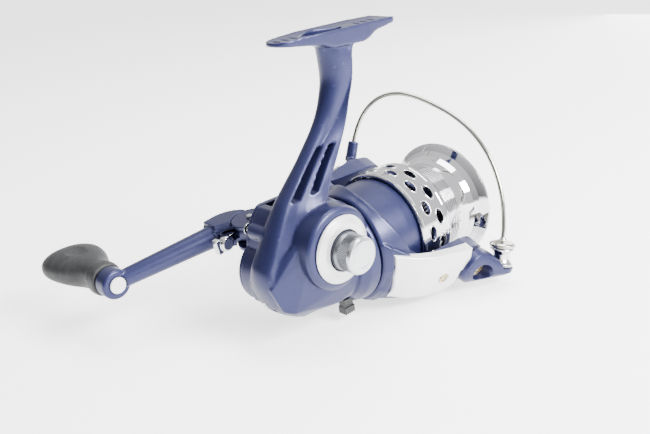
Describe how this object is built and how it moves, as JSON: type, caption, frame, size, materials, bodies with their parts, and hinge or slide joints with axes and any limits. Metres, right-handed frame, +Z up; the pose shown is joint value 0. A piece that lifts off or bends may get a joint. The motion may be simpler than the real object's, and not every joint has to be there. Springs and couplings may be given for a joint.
{
  "type": "spinning reel",
  "caption": "Front-drag spinning fishing reel with a ported metal spool, wire bail, two-arm rotor, fold-down crank with a paddle knob, and a saddle foot.",
  "frame": {"origin": "on the flat strip along the bottom of the foot seat, on the solid pad just ahead of the foot pocket, on the centre plane", "axes": "+X forward along the spool and rod axis, towards the spool lip; +Y to the handle side; +Z up, out of the foot seat towards the rod"},
  "size_m": [0.1708, 0.1483, 0.1236],
  "materials": {
    "blue_paint": "satin metallic",
    "silver_paint": "satin pearl",
    "aluminium": "machined, knurled band",
    "dark_metal": "satin",
    "steel": "polished",
    "chrome": "mirror",
    "brass": "cut",
    "rubber": "soft touch",
    "white_plastic": "moulded",
    "black_plastic": "moulded",
    "blue_plastic": "satin metallic",
    "felt": "felt"
  },
  "bodies": {
    "frame": {"housing": "blue_paint", "side_cover": "blue_paint", "cover_screw_1": "steel", "cover_screw_2": "steel", "cover_screw_3": "steel", "bezel_ring": "silver_paint", "drive_bearing_right": "steel", "drive_bearing_left": "steel", "pinion_bearing": "steel", "oneway_clutch": "brass", "clutch_retainer": "steel", "slider_rail": "steel"},
    "crank": {"drive_gear": "brass", "crank_cap": "aluminium", "handle_shank": "dark_metal", "handle_bracket": "blue_paint", "hinge_pin": "chrome"},
    "handle": {"handle_arm": "blue_paint", "knob_spindle": "steel"},
    "latch": {"fold_latch": "chrome"},
    "knob": {"handle_knob": "rubber"},
    "rotor": {"pinion_gear": "brass", "rotor": "blue_paint", "rotor_nut": "brass", "arm_cover_right": "silver_paint", "arm_cover_left": "silver_paint", "arm_cover_screw_right": "steel", "arm_cover_screw_left": "steel", "bail_spring": "steel", "bail_screw_right": "steel", "bail_screw_left": "steel"},
    "bail": {"bail_arm": "blue_paint", "bail_wire": "chrome", "bail_holder": "blue_paint"},
    "roller": {"line_roller": "chrome"},
    "oscillator": {"oscillation_gear": "white_plastic"},
    "main_shaft": {"main_shaft": "steel", "slider_block": "brass", "slider_screw": "steel", "drag_washer_1": "steel", "drag_washer_2": "felt", "drag_washer_3": "steel", "drag_retainer": "steel", "drag_spring": "steel"},
    "spool": {"spool": "chrome"},
    "drag_knob": {"drag_knob": "blue_plastic"},
    "lever": {"anti_reverse_lever": "black_plastic"}
  },
  "joints": [
    {"name": "crank_turn", "type": "hinge", "parent": "frame", "child": "crank", "pos_m": [-0.03, 0, -0.0828], "axis": [0, 1, 0], "continuous": true},
    {"name": "handle_fold", "type": "hinge", "parent": "crank", "child": "handle", "pos_m": [-0.03571, 0.0315, -0.08382], "axis": [0.175, 0, -0.9846], "range_deg": [0, 85]},
    {"name": "latch_slide", "type": "slide", "parent": "handle", "child": "latch", "axis": [-0.9846, 0, -0.175], "range_m": [0, 0.003], "stiffness_N_per_m": 150, "springref_m": -0.002},
    {"name": "knob_spin", "type": "hinge", "parent": "handle", "child": "knob", "pos_m": [-0.09301, 0.0572, -0.094], "axis": [0, 1, 0], "continuous": true},
    {"name": "rotor_spin", "type": "hinge", "parent": "frame", "child": "rotor", "pos_m": [0, 0, -0.094], "axis": [1, 0, 0], "continuous": true},
    {"name": "bail_flip", "type": "hinge", "parent": "rotor", "child": "bail", "pos_m": [0.0334, 0, -0.094], "axis": [0, -0.9063, -0.4226], "range_deg": [-102, 0]},
    {"name": "roller_spin", "type": "hinge", "parent": "bail", "child": "roller", "pos_m": [0.048, -0.041, -0.1102], "axis": [0.2339, 0.0309, 0.9718], "continuous": true},
    {"name": "oscillation_turn", "type": "hinge", "parent": "frame", "child": "oscillator", "pos_m": [-0.043, 0.007, -0.09343], "axis": [0, 1, 0], "continuous": true},
    {"name": "spool_travel", "type": "slide", "parent": "frame", "child": "main_shaft", "axis": [1, 0, 0], "range_m": [-0.007, 0.007]},
    {"name": "spool_spin", "type": "hinge", "parent": "main_shaft", "child": "spool", "pos_m": [0.04, 0, -0.094], "axis": [1, 0, 0], "continuous": true},
    {"name": "drag_adjust", "type": "hinge", "parent": "main_shaft", "child": "drag_knob", "pos_m": [0.058, 0, -0.094], "axis": [1, 0, 0], "range_deg": [-360, 360]},
    {"name": "lever_flip", "type": "hinge", "parent": "frame", "child": "lever", "pos_m": [-0.0202, -0.0061, -0.1124], "axis": [1, 0, 0], "range_deg": [0, 18]}
  ],
  "couplings": [
    {"joint": "rotor_spin", "follows": "crank_turn", "ratio": 4},
    {"joint": "oscillation_turn", "follows": "crank_turn", "ratio": -0.5}
  ]
}
